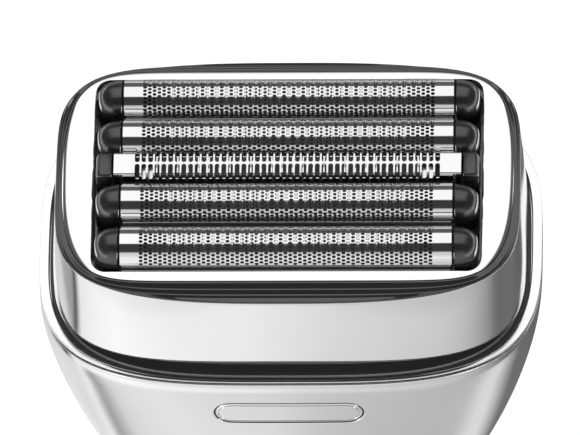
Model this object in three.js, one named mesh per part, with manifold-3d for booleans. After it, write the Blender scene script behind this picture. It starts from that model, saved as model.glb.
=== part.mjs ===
// Compact five-element foil shaver: pebble body, swinging head, lift-off foil cassette.
// Millimetres. +Z is up, the front (button side) faces -Y, X runs left to right.
// The origin is the centre of the flat foot the shaver stands on.

import * as THREE from "three";
import { mergeVertices } from "three/addons/utils/BufferGeometryUtils.js";
import Module from "manifold-3d";

const wasm = await Module();
wasm.setup();

// ---------------------------------------------------------------- dimensions

const GAP = 0.3; // clearance left between pieces that touch in the real object

// Heights of the main levels above the foot.
const LIP_Z = 46; // top of the bright trim ring
const RIM_EDGE_Z = LIP_Z + 14.65; // outer edge of the bezel
const OPENING_Z = RIM_EDGE_Z + 0.4; // inner edge of the bezel, around the foils
const BEZEL_BOTTOM_Z = RIM_EDGE_Z - 0.3;
const COLLAR_DEPTH = 1.6; // drop of the sloping seat between collar and head shell
const COLLAR_DIP = 1; // how much lower the collar's edge is at front and back
const SKIRT_Z = LIP_Z + 1.9; // lower edge of the head shell
const FOIL_Z = OPENING_Z + 0.15; // axis of the foil arches
const PIVOT_Z = LIP_Z + 4.5; // axis the head swings about

// Plan outlines: half width, half depth and the two exponents of the oval.
const BODY = { a: 35, b: 25.35, na: 3.4, nb: 3.4 };
const LIP = { a: 33.9, b: 24.25, na: 3.4, nb: 3.4 };
const SKIRT = { a: 33, b: 22.45, na: 3.9, nb: 3.9 };
const COLLAR = { a: 32.2, b: 21.1, na: 2.9, nb: 4.9 };
const RIM = { a: 31.25, b: 18.25, na: 10, nb: 2.5 };
const OPENING = { a: 27.1, b: 16.8, corner: 2.1 };
const WELL = { a: 27.1, b: 16.8, corner: 4.5 };

// Body: widest just under the lip, then rounding in to a small flat base.
const WIDEST_Z = 43;
const BASE_Z = 0.8;
const TAPER_LENGTH = 60;
const TAPER_POWER = 1.3;
const SHOULDER_DROP = 0.3;
const WALL = 1.8;

// Trim ring: it covers the body's whole upper edge, flush with its outer face.
const RING_HEIGHT = 0.5;
const SEAL_SEAT_Z = LIP_Z - 0.8;

// Shaving elements: rows from back to front, the comb in the middle.
const OUTER_ROW_Y = 12.75;
const INNER_ROW_Y = 5.56;
const FOIL_R = 3.1;
const FOIL_T = 0.3;
const FOIL_HALF = 22.9;
const FOIL_SKIRT = 1.7; // straight sides of a foil below its arch
const FLOAT = 1.5; // how far an element is pressed down
const CAP_END = 26.5;
const CAP_BOTTOM_Z = 58.7;
const COMB_HALF_WIDTH = 1.95;
const COMB_TOP_Z = OPENING_Z + 2.7;
const COMB_HALF = 24.05;
const COMB_T = 0.35;
const SLOT_PITCH = 0.917;
const SLOT_WIDTH = 0.52;
const SLOT_COUNT = 46;
const SPINE_HALF = 0.27;
const SLOT_DROP = 1.1;

// Cutters below the foils.
const CUTTER_R = FOIL_R - FOIL_T - GAP;
const CUTTER_HALF = 20.3;
const VANE_PITCH = 5.6;
const VANE_T = 0.6;
const VANE_COUNT = 8;

// Drive.
const STROKE = 1;
const ROD_Y = 8.8;
const ROD_Z = 43;
const ROD_R = 1;
const POST_X = 1.7;
const POST_Y = 1.2;
const POST_TOP_Z = 58.4;
const DECK_BOTTOM_Z = 52.5;
const DECK_TOP_Z = 54.5;
const UPRIGHT_X = 19.5;
const UPRIGHT_T = 2;
const MOUNT_BOTTOM_Z = 36.8;
const PIN_R = 1.5;
const EAR_X = 24.2;
const ARM_X = 26.6;
const ARM_T = 2;

// Power button on the front.
const BUTTON_Z = 39;
const BUTTON_LENGTH = 20.9;
const BUTTON_HEIGHT = 4.3;
const BUTTON_BACK_Y = -21.8; // inner face of the flange that keeps the button in

// Base fittings.
const BASE_OPENING = { a: 18, b: 12.2, na: 3, nb: 3 };
const COVER = { a: 17.7, b: 11.9, na: 3, nb: 3 };
const LEDGE = { a: 14.4, b: 8.8, na: 3, nb: 3 };
const SCREW_X = 16.1;

const RING_STEPS = 6; // points per eighth of an outline

// ------------------------------------------------------------------- colours

const SILVER = { color: 0xc9cbcd, roughness: 0.24, metalness: 0.9 };
const POLISHED = { color: 0xe4e6e8, roughness: 0.1, metalness: 1 };
const STEEL = { color: 0xb9bcc0, roughness: 0.3, metalness: 1 };
const BLACK_GLOSS = { color: 0x17181a, roughness: 0.2, metalness: 0 };
const BLACK_MATTE = { color: 0x1b1c1e, roughness: 0.7, metalness: 0 };
const RUBBER = { color: 0x141414, roughness: 0.9, metalness: 0 };
const GREY_PLASTIC = { color: 0x55585c, roughness: 0.6, metalness: 0 };
const BOARD_GREEN = { color: 0x1f5a3c, roughness: 0.5, metalness: 0 };
const COPPER = { color: 0xb06a3a, roughness: 0.4, metalness: 0.9 };
const MAGNET = { color: 0x8d9094, roughness: 0.35, metalness: 1 };
const CELL_WRAP = { color: 0x3a5f8a, roughness: 0.45, metalness: 0 };

const root = new THREE.Group();
root.name = "electric_shaver";

// ------------------------------------------------------------------- helpers

function grow(outline, d) {
  const grown = { ...outline, a: outline.a + d, b: outline.b + d };
  if (outline.corner) {
    grown.corner = outline.corner + d;
  }
  return grown;
}

// Outline between two others; share is 0 at the first.
function blend(first, second, share) {
  return {
    a: first.a + (second.a - first.a) * share,
    b: first.b + (second.b - first.b) * share,
    na: first.na + (second.na - first.na) * share,
    nb: first.nb + (second.nb - first.nb) * share,
  };
}

// Positive outside an outline, negative inside.
function outside(outline, x, y) {
  if (outline.corner) {
    const qx = Math.abs(x) - outline.a + outline.corner;
    const qy = Math.abs(y) - outline.b + outline.corner;
    return Math.hypot(Math.max(qx, 0), Math.max(qy, 0)) + Math.min(Math.max(qx, qy), 0) - outline.corner;
  }
  return (Math.abs(x) / outline.a) ** outline.na + (Math.abs(y) / outline.b) ** outline.nb - 1;
}

// Point where a ray from the centre crosses the outline.
function crossing(outline, dx, dy) {
  let near = 0;
  let far = 2 * Math.max(outline.a, outline.b);
  for (let i = 0; i < 50; i++) {
    const mid = (near + far) / 2;
    if (outside(outline, mid * dx, mid * dy) > 0) {
      far = mid;
    } else {
      near = mid;
    }
  }
  return [near * dx, near * dy];
}

// Ray directions shared by every outline, closest together at the four corners.
function rayDirections() {
  const rays = [];
  for (let eighth = 0; eighth < 8; eighth++) {
    for (let i = 0; i < RING_STEPS; i++) {
      const u = i / RING_STEPS;
      const towardsCorner = eighth % 2 === 0;
      const s = towardsCorner ? 1 - (1 - u) ** 1.6 : u ** 1.6;
      const t = ((eighth + s) * Math.PI) / 4;
      const x = OPENING.a * Math.cos(t);
      const y = OPENING.b * Math.sin(t);
      const length = Math.hypot(x, y);
      rays.push([x / length, y / length]);
    }
  }
  return rays;
}

const RAYS = rayDirections();

function signedVolume(position, index) {
  const a = new THREE.Vector3();
  const b = new THREE.Vector3();
  const c = new THREE.Vector3();
  let sum = 0;
  for (let i = 0; i < index.length; i += 3) {
    a.fromArray(position, 3 * index[i]);
    b.fromArray(position, 3 * index[i + 1]);
    c.fromArray(position, 3 * index[i + 2]);
    sum += a.dot(b.cross(c));
  }
  return sum;
}

function solidFromLists(position, index) {
  if (signedVolume(position, index) < 0) {
    for (let i = 0; i < index.length; i += 3) {
      [index[i], index[i + 1]] = [index[i + 1], index[i]];
    }
  }
  return new wasm.Manifold(
    new wasm.Mesh({
      numProp: 3,
      vertProperties: new Float32Array(position),
      triVerts: new Uint32Array(index),
    }),
  );
}

// Stack of rings with the same point count, joined in order.
// A closed stack joins its last ring to its first; an open one gets flat ends.
function solidFromRings(rings, closed) {
  const count = rings[0].length;
  const position = rings.flat(2);
  const index = [];
  const bands = closed ? rings.length : rings.length - 1;
  for (let r = 0; r < bands; r++) {
    const lower = r * count;
    const upper = ((r + 1) % rings.length) * count;
    for (let i = 0; i < count; i++) {
      const j = (i + 1) % count;
      index.push(lower + i, lower + j, upper + j);
      index.push(lower + i, upper + j, upper + i);
    }
  }
  if (!closed) {
    const last = (rings.length - 1) * count;
    for (let i = 1; i < count - 1; i++) {
      index.push(0, i + 1, i);
      index.push(last, last + i, last + i + 1);
    }
  }
  return solidFromLists(position, index);
}

// Levels are [outline, z]; z may be a function of the point.
function outlineStack(levels, closed) {
  const rings = levels.map(([outline, z]) =>
    RAYS.map(([dx, dy]) => {
      const [x, y] = crossing(outline, dx, dy);
      return [x, y, typeof z === "function" ? z(x, y) : z];
    }),
  );
  return solidFromRings(rings, closed);
}

function fromGeometry(geometry) {
  geometry.deleteAttribute("normal");
  geometry.deleteAttribute("uv");
  const merged = mergeVertices(geometry, 1e-5);
  return solidFromLists(Array.from(merged.attributes.position.array), Array.from(merged.index.array));
}

function box([x0, x1], [y0, y1], [z0, z1]) {
  const geometry = new THREE.BoxGeometry(x1 - x0, y1 - y0, z1 - z0);
  geometry.translate((x0 + x1) / 2, (y0 + y1) / 2, (z0 + z1) / 2);
  return fromGeometry(geometry);
}

// Cylinder along an axis ("x", "y" or "z") from its centre point.
function cylinder(axis, radius, length, [x, y, z], sides) {
  const geometry = new THREE.CylinderGeometry(radius, radius, length, sides);
  if (axis === "x") {
    geometry.rotateZ(Math.PI / 2);
  }
  if (axis === "z") {
    geometry.rotateX(Math.PI / 2);
  }
  geometry.translate(x, y, z);
  return fromGeometry(geometry);
}

// Prism along X of a closed section given as [y, z] points.
function prismX(section, x0, x1) {
  const rings = [x0, x1].map((x) => section.map(([y, z]) => [x, y, z]));
  return solidFromRings(rings, false);
}

// Arch section: straight legs, then a half circle of the given radius.
function archPoints(radius, centreZ, bottomZ, steps) {
  const points = [[radius, bottomZ]];
  for (let i = 0; i <= steps; i++) {
    const t = (i * Math.PI) / steps;
    points.push([radius * Math.cos(t), centreZ + radius * Math.sin(t)]);
  }
  points.push([-radius, bottomZ]);
  return points;
}

function shiftY(solid, y) {
  return solid.translate([0, y, 0]);
}

function addPiece(name, solid, look) {
  const mesh = solid.getMesh();
  const geometry = new THREE.BufferGeometry();
  geometry.setAttribute("position", new THREE.BufferAttribute(new Float32Array(mesh.vertProperties), 3));
  geometry.setIndex(new THREE.BufferAttribute(new Uint32Array(mesh.triVerts), 1));
  geometry.computeVertexNormals();
  const piece = new THREE.Mesh(geometry, new THREE.MeshStandardMaterial(look));
  piece.name = name;
  root.add(piece);
}

function union(solids) {
  return solids.reduce((all, solid) => all.add(solid));
}

// ---------------------------------------------------------------------- body

// Share of the full width left at a height below the widest level.
function taper(z) {
  const depth = Math.max(WIDEST_Z - z, 0) / TAPER_LENGTH;
  return Math.sqrt(1 - depth ** TAPER_POWER);
}

function bodyOutline(z, inset) {
  const share = taper(z);
  const shoulder = SHOULDER_DROP * Math.max((z - WIDEST_Z) / (LIP_Z - WIDEST_Z), 0) ** 2;
  return {
    ...BODY,
    a: BODY.a * share - shoulder - inset,
    b: BODY.b * share - shoulder - inset,
  };
}

const BODY_TOP_Z = LIP_Z - RING_HEIGHT - GAP;
const OUTER_LEVELS = [BASE_Z, 2.4, 6.4, 11.5, 17.5, 24, 31, 37.5, WIDEST_Z, BODY_TOP_Z];
const INNER_LEVELS = [6.6, 12, 19, 28, 37.5, SEAL_SEAT_Z - GAP];

const bodyEnvelope = outlineStack(
  OUTER_LEVELS.map((z) => [bodyOutline(z, 0), z]),
  false,
);

// Rounded slot shape used by the button, its opening and its flange.
function pill(length, height, yBack, yFront) {
  const straight = length / 2 - height / 2;
  const depth = yBack - yFront;
  const middleY = (yBack + yFront) / 2;
  const left = cylinder("y", height / 2, depth, [-straight, middleY, BUTTON_Z], 20);
  const right = cylinder("y", height / 2, depth, [straight, middleY, BUTTON_Z], 20);
  const middle = box(
    [-straight, straight],
    [yFront, yBack],
    [BUTTON_Z - height / 2, BUTTON_Z + height / 2],
  );
  return union([left, middle, right]);
}

function buildHousing() {
  const outer = OUTER_LEVELS.map((z) => [bodyOutline(z, 0), z]);
  const inner = INNER_LEVELS.map((z) => [bodyOutline(z, WALL), z]).reverse();
  const shell = outlineStack(
    [
      ...outer,
      [LIP, BODY_TOP_Z],
      [LIP, SEAL_SEAT_Z - GAP],
      ...inner,
      [LEDGE, 5.4],
      [LEDGE, 3.4],
      [BASE_OPENING, 3.4],
      [BASE_OPENING, BASE_Z],
    ],
    true,
  );
  const buttonHole = pill(BUTTON_LENGTH + 2 * GAP, BUTTON_HEIGHT + 2 * GAP, -15, -40);
  const screwHoles = [-1, 1].map((side) => cylinder("z", 0.9, 4, [side * SCREW_X, 0, 4.4], 12));
  return shell.subtract(buttonHole).subtract(union(screwHoles));
}

addPiece("housing_shell", buildHousing(), SILVER);

addPiece(
  "trim_ring",
  outlineStack(
    [
      [LIP, LIP_Z - 0.1],
      [grow(LIP, 0.1), LIP_Z],
      [bodyOutline(LIP_Z, 0.1), LIP_Z],
      [bodyOutline(LIP_Z - 0.1, 0), LIP_Z - 0.1],
      [bodyOutline(LIP_Z - RING_HEIGHT, 0), LIP_Z - RING_HEIGHT],
      [LIP, LIP_Z - RING_HEIGHT],
    ],
    true,
  ),
  POLISHED,
);

// The neck wall stands inside the head shell and hides the drive when the head swings.
const NECK_TOP_Z = 50.2;
addPiece(
  "neck_seal",
  outlineStack(
    [
      [grow(LIP, -GAP), SEAL_SEAT_Z],
      [grow(LIP, -GAP), SEAL_SEAT_Z + 0.3],
      [grow(LIP, -1.6), SEAL_SEAT_Z + 0.3],
      [grow(LIP, -1.9), LIP_Z - 0.05],
      [grow(LIP, -3.6), LIP_Z - 0.05],
      [grow(LIP, -3.6), NECK_TOP_Z],
      [grow(LIP, -4.5), NECK_TOP_Z],
      [grow(LIP, -4.5), 43.4],
      [grow(LIP, -2.1), 43.4],
      [grow(LIP, -2.1), SEAL_SEAT_Z],
    ],
    true,
  ),
  RUBBER,
);

addPiece(
  "power_button",
  pill(BUTTON_LENGTH, BUTTON_HEIGHT, BUTTON_BACK_Y - 0.2, -40)
    .intersect(bodyEnvelope)
    .add(pill(BUTTON_LENGTH + 1.8, BUTTON_HEIGHT + 1.6, BUTTON_BACK_Y, BUTTON_BACK_Y - 0.35)),
  SILVER,
);

// ---------------------------------------------------------------------- base

const screwTopZ = 5.9;
const coverPlate = outlineStack(
  [
    [COVER, 1],
    [COVER, 3.1],
  ],
  false,
);
const inletSlot = box([-4.8, 4.8], [-1.95, 1.95], [0, 4]);
const coverHoles = [-1, 1].map((side) =>
  cylinder("z", 0.85, 5, [side * (SCREW_X - 0.2), 0, 2], 12).add(
    cylinder("z", 1.3, 1.2, [side * (SCREW_X - 0.2), 0, 1.2], 16),
  ),
);
addPiece("bottom_cover", coverPlate.subtract(inletSlot).subtract(union(coverHoles)), BLACK_MATTE);

for (const [side, label] of [
  [-1, "left"],
  [1, "right"],
]) {
  const x = side * (SCREW_X - 0.2);
  const head = cylinder("z", 1, 0.7, [x, 0, 1.15], 16);
  const shank = cylinder("z", 0.5, screwTopZ - 1.2, [x, 0, (screwTopZ + 1.2) / 2], 12);
  const slot = box([x - 0.7, x + 0.7], [-0.13, 0.13], [0.7, 1.05]);
  addPiece(`cover_screw_${label}`, head.add(shank).subtract(slot), STEEL);
}

addPiece(
  "foot_ring",
  outlineStack(
    [
      [grow(LEDGE, 0.6), 0],
      [grow(LEDGE, 0.6), 0.7],
      [grow(LEDGE, -1.6), 0.7],
      [grow(LEDGE, -1.6), 0],
    ],
    true,
  ),
  RUBBER,
);

const socketShell = box([-4.5, 4.5], [-1.65, 1.65], [1.2, 8.6]);
const socketHollow = box([-4.2, 4.2], [-1.35, 1.35], [0, 7.6]);
const socketTongue = box([-3.3, 3.3], [-0.35, 0.35], [2.2, 8]);
addPiece("usb_socket", socketShell.subtract(socketHollow).add(socketTongue), STEEL);

// ------------------------------------------------------------ inside the body

const BATTERY_Y = 2;
const BATTERY_Z = 24.3;
const BATTERY_R = 7;
const CHASSIS_TOP_Z = 34.5;

function buildChassis() {
  const plate = outlineStack(
    [
      [{ ...BODY, a: 30.2, b: 20.8 }, CHASSIS_TOP_Z - 2],
      [{ ...BODY, a: 30.2, b: 20.8 }, CHASSIS_TOP_Z],
    ],
    false,
  );
  const pieces = [plate];
  for (const side of [-1, 1]) {
    const arm = [side * ARM_X, side * (ARM_X + ARM_T)].sort((p, q) => p - q);
    const rib = [side * 11.4, side * 13.4].sort((p, q) => p - q);
    pieces.push(box(arm, [-3, 3], [CHASSIS_TOP_Z - 1, 51.9]));
    pieces.push(box(rib, [BATTERY_Y - 8.8, BATTERY_Y + 8.8], [19, CHASSIS_TOP_Z - 1]));
  }
  const cradle = cylinder("x", BATTERY_R + GAP, 60, [0, BATTERY_Y, BATTERY_Z], 24);
  const pinHole = cylinder("x", PIN_R + GAP, 80, [0, 0, PIVOT_Z], 14);
  return union(pieces).subtract(cradle).subtract(pinHole);
}

addPiece("chassis", buildChassis(), GREY_PLASTIC);
addPiece(
  "battery",
  cylinder("x", BATTERY_R, 38, [0, BATTERY_Y, BATTERY_Z], 24).add(
    cylinder("x", 2.4, 1.4, [19.5, BATTERY_Y, BATTERY_Z], 16),
  ),
  CELL_WRAP,
);
addPiece("circuit_board", box([-15, 15], [-19.8, -18.6], [CHASSIS_TOP_Z + 0.6, 42.9]), BOARD_GREEN);
addPiece(
  "tact_switch",
  box([-2.2, 2.2], [-20.7, -20.1], [BUTTON_Z - 1.8, BUTTON_Z + 1.8]).add(
    cylinder("y", 0.9, 0.6, [0, -20.6, BUTTON_Z], 12),
  ),
  BLACK_MATTE,
);

for (const [side, label] of [
  [-1, "left"],
  [1, "right"],
]) {
  const centreX = (side * (EAR_X + ARM_X + ARM_T)) / 2;
  const length = ARM_X + ARM_T - EAR_X + 0.6;
  addPiece(`pivot_pin_${label}`, cylinder("x", PIN_R, length, [centreX, 0, PIVOT_Z], 14), STEEL);
}

// ---------------------------------------------------------------------- head

// The joint between the dark collar and the head shell dips at front and back.
function collarEdgeZ(x, y) {
  return RIM_EDGE_Z - 0.35 - COLLAR_DIP * (Math.abs(y) / COLLAR.b) ** 4;
}

function shellTopZ(x, y) {
  return collarEdgeZ(x, y) - GAP;
}

addPiece(
  "head_shell",
  outlineStack(
    [
      [COLLAR, shellTopZ],
      [{ a: 32.65, b: 21.95, na: 3.6, nb: 4.2 }, 54.4],
      [SKIRT, SKIRT_Z + 0.2],
      [grow(SKIRT, -0.2), SKIRT_Z],
      [grow(SKIRT, -1.45), SKIRT_Z],
      [{ a: 31.1, b: 20.4, na: 4.2, nb: 4.2 }, 54.4],
      [{ a: 31.1, b: 20.3, na: 4.2, nb: 4.2 }, (x, y) => shellTopZ(x, y) - COLLAR_DEPTH],
      [grow(COLLAR, -0.15), shellTopZ],
    ],
    true,
  ),
  SILVER,
);

const ROW_YS = [OUTER_ROW_Y, INNER_ROW_Y, 0, -INNER_ROW_Y, -OUTER_ROW_Y];

function buildHeadBase() {
  const deckOutline = { ...SKIRT, a: 30, b: 19.9 };
  const deck = outlineStack(
    [
      [deckOutline, DECK_BOTTOM_Z],
      [deckOutline, DECK_TOP_Z],
    ],
    false,
  );
  const slotX = POST_X + STROKE + GAP;
  const slotY = POST_Y + GAP;
  const cuts = ROW_YS.map((y) => box([-slotX, slotX], [y - slotY, y + slotY], [50, 60]));
  const ears = [];
  for (const side of [-1, 1]) {
    const ear = [side * EAR_X, side * (EAR_X + 2.1)].sort((p, q) => p - q);
    ears.push(box(ear, [-3.2, 3.2], [PIVOT_Z - 3.2, DECK_BOTTOM_Z + 0.5]));
    cuts.push(cylinder("z", 2.2, 4, [side * 24.8, 0, DECK_TOP_Z - 1.4 + 2], 16));
    cuts.push(cylinder("x", PIN_R + GAP, 4, [side * (EAR_X + 1), 0, PIVOT_Z], 14));
  }
  return union([deck, ...ears]).subtract(union(cuts));
}

addPiece("head_base", buildHeadBase(), BLACK_MATTE);

for (const [side, label] of [
  [-1, "left"],
  [1, "right"],
]) {
  const x = side * 24.8;
  addPiece(`deck_magnet_${label}`, cylinder("z", 1.9, 1.5, [x, 0, DECK_TOP_Z - 0.35], 16), MAGNET);
  addPiece(
    `catch_plate_${label}`,
    box([x - 1.7, x + 1.7], [-4, 4], [DECK_TOP_Z + 0.85, DECK_TOP_Z + 1.25]),
    STEEL,
  );
}

// --------------------------------------------------------------- linear motor

function buildMotorMount() {
  const uprights = [-1, 1].map((side) => {
    const span = [side * UPRIGHT_X, side * (UPRIGHT_X + UPRIGHT_T)].sort((p, q) => p - q);
    return box(span, [-11, 11], [MOUNT_BOTTOM_Z, DECK_BOTTOM_Z - GAP]);
  });
  const floor = box(
    [-UPRIGHT_X - 0.5, UPRIGHT_X + 0.5],
    [-5, 5],
    [MOUNT_BOTTOM_Z, MOUNT_BOTTOM_Z + 1.8],
  );
  const rodHoles = [-1, 1].map((side) => cylinder("x", ROD_R + 0.2, 60, [0, side * ROD_Y, ROD_Z], 16));
  return union([...uprights, floor]).subtract(union(rodHoles));
}

addPiece("motor_mount", buildMotorMount(), GREY_PLASTIC);

const poles = [-1, 1].map((side) => {
  const span = [side * 8.4, side * 12].sort((p, q) => p - q);
  return box(span, [-5.1, 5.1], [40.5, 44.5]);
});
addPiece("stator_core", union([box([-12, 12], [-3.2, 3.2], [40.5, 44.5]), ...poles]), STEEL);
addPiece(
  "stator_coil",
  box([-7.9, 7.9], [-5, 5], [38.9, 46.1]).subtract(box([-9, 9], [-3.5, 3.5], [40.2, 44.8])),
  COPPER,
);

function buildMover(side, rows, beamEndY) {
  const flip = (range) => range.map((y) => side * y).sort((p, q) => p - q);
  const block = box([-13, 13], flip([6.9, 10.6]), [40, 46]);
  const riser = box([-3, 3], flip([6.9, 10.6]), [45, 49.4]);
  const beam = box([-3, 3], flip([beamEndY, 14]), [47.2, 49.4]);
  const posts = rows.map((y) =>
    box([-POST_X, POST_X], [y - POST_Y, y + POST_Y], [49, POST_TOP_Z]),
  );
  const bore = cylinder("x", ROD_R + GAP, 40, [0, side * ROD_Y, ROD_Z], 16);
  return union([block, riser, beam, ...posts]).subtract(bore);
}

addPiece("mover_rear", buildMover(1, [0, INNER_ROW_Y, OUTER_ROW_Y], -1.2), GREY_PLASTIC);
addPiece("mover_front", buildMover(-1, [-INNER_ROW_Y, -OUTER_ROW_Y], 4.3), GREY_PLASTIC);

for (const [side, label] of [
  [-1, "front"],
  [1, "rear"],
]) {
  const faceY = [side * 5.6, side * 6.6].sort((p, q) => p - q);
  addPiece(`mover_magnet_${label}`, box([-12, 12], faceY, [40.8, 45.2]), MAGNET);
  addPiece(
    `guide_rod_${label}`,
    cylinder("x", ROD_R, 2 * (UPRIGHT_X + UPRIGHT_T), [0, side * ROD_Y, ROD_Z], 16),
    STEEL,
  );
}

// ------------------------------------------------------------------- cassette

function buildCassetteFrame() {
  const wall = outlineStack(
    [
      [grow(RIM, GAP), RIM_EDGE_Z - 0.05],
      [blend(RIM, COLLAR, 0.5), (x, y) => RIM_EDGE_Z - 0.1 - 0.2 * (Math.abs(y) / COLLAR.b) ** 4],
      [COLLAR, (x, y) => collarEdgeZ(x, y) + 0.2],
      [grow(COLLAR, -0.15), collarEdgeZ],
      [{ a: 30.7, b: 19.8, na: 4.2, nb: 4.2 }, (x, y) => collarEdgeZ(x, y) - COLLAR_DEPTH - 0.1],
      [{ a: 30.5, b: 19.6, na: 4.2, nb: 4.2 }, 57.4],
      [grow(WELL, 0.65), 57.4],
      [grow(WELL, 0.65), 55.5],
      [WELL, 55.5],
      [WELL, BEZEL_BOTTOM_Z - GAP],
      [grow(RIM, GAP), BEZEL_BOTTOM_Z - GAP],
    ],
    true,
  );
  const wellPlug = outlineStack(
    [
      [grow(WELL, 0.3), 56.05],
      [grow(WELL, 0.3), 56.8],
    ],
    false,
  );
  const floors = [-1, 1].map((side) => {
    const span = [side * 22.7, side * (OPENING.a + 0.5)].sort((p, q) => p - q);
    return wellPlug.intersect(box(span, [-20, 20], [50, 60]));
  });
  return union([wall, ...floors]);
}

addPiece("cassette_frame", buildCassetteFrame(), BLACK_GLOSS);

addPiece(
  "bezel",
  outlineStack(
    [
      [OPENING, OPENING_Z - 0.1],
      [grow(OPENING, 0.12), OPENING_Z],
      [grow(RIM, -0.15), RIM_EDGE_Z + 0.05],
      [RIM, RIM_EDGE_Z - 0.1],
      [RIM, BEZEL_BOTTOM_Z],
      [OPENING, BEZEL_BOTTOM_Z],
    ],
    true,
  ),
  POLISHED,
);

const FOIL_BOTTOM_Z = FOIL_Z - FOIL_SKIRT;
const foilOuter = archPoints(FOIL_R, FOIL_Z, FOIL_BOTTOM_Z, 12);
const foilInner = archPoints(FOIL_R - FOIL_T, FOIL_Z, FOIL_BOTTOM_Z, 12);

function buildFoil() {
  const cover = prismX(foilOuter, -FOIL_HALF, FOIL_HALF);
  const hollow = prismX(foilInner, -FOIL_HALF - 1, FOIL_HALF + 1);
  return cover.subtract(hollow.add(hollow.translate([0, 0, -0.5])));
}

// Rounded block that closes one end of a foil; side is +1 for the right end.
function buildFoilCap(side) {
  const start = FOIL_HALF + GAP;
  const section = archPoints(FOIL_R - 0.1, FOIL_Z, CAP_BOTTOM_Z, 8);
  const turns = [0, 34, 60, 80];
  const rings = turns.map((degrees) => {
    const turn = (degrees * Math.PI) / 180;
    const x = start + (CAP_END - start) * Math.sin(turn);
    const width = 0.12 + 0.88 * Math.cos(turn) ** 0.6;
    const height = 0.5 + 0.5 * Math.cos(turn) ** 0.6;
    return section.map(([y, z]) => [
      side * x,
      y * width,
      CAP_BOTTOM_Z + (z - CAP_BOTTOM_Z) * height,
    ]);
  });
  return solidFromRings(rings, false);
}

function buildComb() {
  const outer = [
    [COMB_HALF_WIDTH, CAP_BOTTOM_Z + 1.2],
    [COMB_HALF_WIDTH, COMB_TOP_Z],
    [-COMB_HALF_WIDTH, COMB_TOP_Z],
    [-COMB_HALF_WIDTH, CAP_BOTTOM_Z + 1.2],
  ];
  const channel = box(
    [-COMB_HALF - 1, COMB_HALF + 1],
    [-COMB_HALF_WIDTH + COMB_T, COMB_HALF_WIDTH - COMB_T],
    [50, COMB_TOP_Z - COMB_T],
  );
  const slots = [];
  for (let i = 0; i < SLOT_COUNT; i++) {
    const x = (i - (SLOT_COUNT - 1) / 2) * SLOT_PITCH;
    for (const side of [-1, 1]) {
      const span = [side * SPINE_HALF, side * (COMB_HALF_WIDTH + 1)].sort((p, q) => p - q);
      const width = [x - SLOT_WIDTH / 2, x + SLOT_WIDTH / 2];
      slots.push(box(width, span, [COMB_TOP_Z - SLOT_DROP, COMB_TOP_Z + 1]));
    }
  }
  return prismX(outer, -COMB_HALF, COMB_HALF).subtract(channel).subtract(union(slots));
}

function buildCombCap(side) {
  const halfWidth = COMB_HALF_WIDTH + 0.15;
  const stations = [
    [COMB_HALF + GAP, 0],
    [CAP_END - 0.6, 0],
    [CAP_END, 0.6],
  ];
  const rings = stations.map(([x, cut]) =>
    [
      [halfWidth, CAP_BOTTOM_Z],
      [halfWidth, COMB_TOP_Z - 0.5 - cut],
      [halfWidth - 0.4, COMB_TOP_Z - 0.15 - cut],
      [-halfWidth + 0.4, COMB_TOP_Z - 0.15 - cut],
      [-halfWidth, COMB_TOP_Z - 0.5 - cut],
      [-halfWidth, CAP_BOTTOM_Z],
    ].map(([y, z]) => [side * x, y, z]),
  );
  return solidFromRings(rings, false);
}

// Cutter hub: a pocket on its underside takes the tip of the drive post.
function buildCutter(vaneSection, spineHalfWidth) {
  const hub = box([-2.7, 2.7], [-2.1, 2.1], [57.4, 60.9]);
  const pocket = box([-POST_X - GAP, POST_X + GAP], [-POST_Y - GAP, POST_Y + GAP], [50, 60.2]);
  const spine = box(
    [-CUTTER_HALF, CUTTER_HALF],
    [-spineHalfWidth, spineHalfWidth],
    [60.3, 61.2],
  );
  const vanes = [];
  for (let i = 0; i < VANE_COUNT; i++) {
    const x = (i - (VANE_COUNT - 1) / 2) * VANE_PITCH - VANE_T / 2;
    const vane = prismX(vaneSection, x, x + VANE_T);
    vanes.push(vane.intersect(box([-CUTTER_HALF, CUTTER_HALF], [-9, 9], [50, 80])));
  }
  return union([hub, spine, ...vanes]).subtract(pocket);
}

const roundVane = archPoints(CUTTER_R, FOIL_Z, 60.8, 6);
const flatVane = [
  [1.3, 60.8],
  [1.3, COMB_TOP_Z - COMB_T - GAP],
  [-1.3, COMB_TOP_Z - COMB_T - GAP],
  [-1.3, 60.8],
];

const foilSolid = buildFoil();
const roundCutter = buildCutter(roundVane, 1.4);
const flatCutter = buildCutter(flatVane, 1.1).intersect(box([-30, 30], [-1.25, 1.25], [50, 80]));

ROW_YS.forEach((y, i) => {
  const row = i + 1;
  const isComb = y === 0;
  addPiece(isComb ? "slit_comb" : `foil_${row}`, isComb ? buildComb() : shiftY(foilSolid, y), STEEL);
  addPiece(`cutter_${row}`, isComb ? flatCutter : shiftY(roundCutter, y), STEEL);
  for (const [side, label] of [
    [-1, "left"],
    [1, "right"],
  ]) {
    const cap = isComb ? buildCombCap(side) : shiftY(buildFoilCap(side), y);
    addPiece(`end_cap_${row}_${label}`, cap, BLACK_GLOSS);
  }
});

export default root;
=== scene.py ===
import math

import bpy
import numpy as np
from mathutils import Matrix, Vector


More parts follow.
